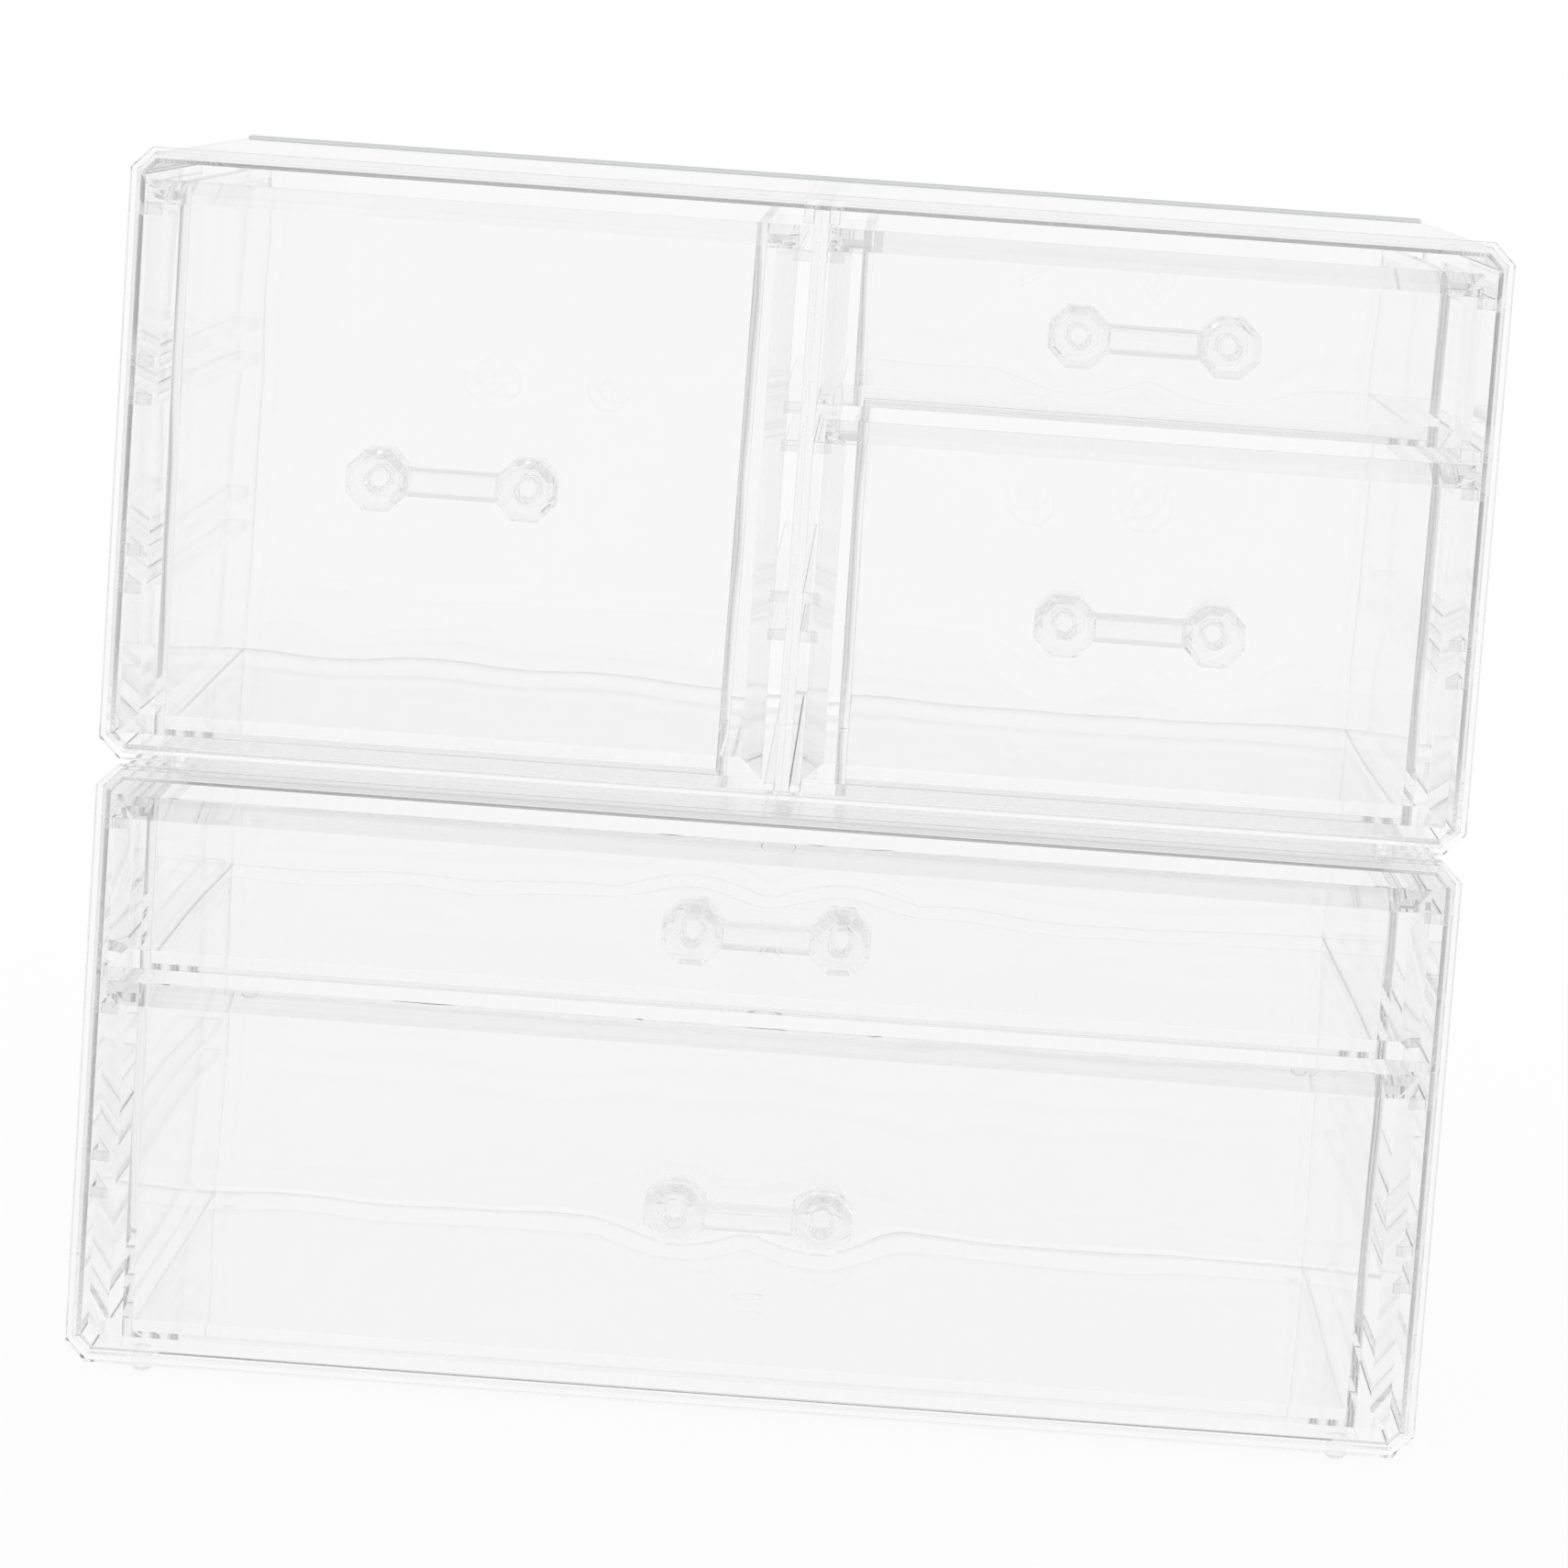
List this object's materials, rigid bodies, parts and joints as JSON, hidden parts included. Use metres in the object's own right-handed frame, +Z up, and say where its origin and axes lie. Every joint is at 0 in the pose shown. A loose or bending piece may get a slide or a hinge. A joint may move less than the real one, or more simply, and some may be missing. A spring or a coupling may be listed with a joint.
{
  "type": "cosmetic drawer organizer",
  "caption": "Clear moulded vanity organizer: stacked open-fronted cases with bevelled drawers that hang on side rails and open by bar handles with octagonal knobs.",
  "frame": {"origin": "middle of the footprint, handles included, on the surface the feet stand on", "axes": "+X to the right seen from the front, +Y to the back, +Z up"},
  "size_m": [0.3, 0.204, 0.2716],
  "materials": {
    "clear_case": "polished clear moulded plastic",
    "clear_divider": "polished clear moulded plastic",
    "clear_drawer": "polished clear moulded plastic, slightly wavy",
    "clear_handle": "polished clear cut-facet plastic",
    "clear_pin": "clear moulded plastic",
    "clear_foot": "clear soft plastic, slightly hazy"
  },
  "bodies": {
    "lower_unit": {"lower_case": "clear_case", "lower_feet": "clear_foot"},
    "upper_unit": {"upper_case": "clear_case", "upper_feet": "clear_foot", "upper_divider": "clear_divider"},
    "wide_shallow_drawer": {"wide_shallow_drawer": "clear_drawer", "wide_shallow_handle": "clear_handle", "wide_shallow_handle_pins": "clear_pin"},
    "wide_deep_drawer": {"wide_deep_drawer": "clear_drawer", "wide_deep_handle": "clear_handle", "wide_deep_handle_pins": "clear_pin"},
    "tall_drawer": {"tall_drawer": "clear_drawer", "tall_handle": "clear_handle", "tall_handle_pins": "clear_pin"},
    "small_shallow_drawer": {"small_shallow_drawer": "clear_drawer", "small_shallow_handle": "clear_handle", "small_shallow_handle_pins": "clear_pin"},
    "small_deep_drawer": {"small_deep_drawer": "clear_drawer", "small_deep_handle": "clear_handle", "small_deep_handle_pins": "clear_pin"}
  },
  "joints": [
    {"name": "upper_unit_lift", "type": "slide", "parent": "lower_unit", "child": "upper_unit", "axis": [0, 0, 1], "range_m": [0, 0.1]},
    {"name": "wide_shallow_drawer_slide", "type": "slide", "parent": "lower_unit", "child": "wide_shallow_drawer", "axis": [0, -1, 0], "range_m": [0, 0.13]},
    {"name": "wide_deep_drawer_slide", "type": "slide", "parent": "lower_unit", "child": "wide_deep_drawer", "axis": [0, -1, 0], "range_m": [0, 0.13]},
    {"name": "tall_drawer_slide", "type": "slide", "parent": "upper_unit", "child": "tall_drawer", "axis": [0, -1, 0], "range_m": [0, 0.13]},
    {"name": "small_shallow_drawer_slide", "type": "slide", "parent": "upper_unit", "child": "small_shallow_drawer", "axis": [0, -1, 0], "range_m": [0, 0.13]},
    {"name": "small_deep_drawer_slide", "type": "slide", "parent": "upper_unit", "child": "small_deep_drawer", "axis": [0, -1, 0], "range_m": [0, 0.13]}
  ]
}
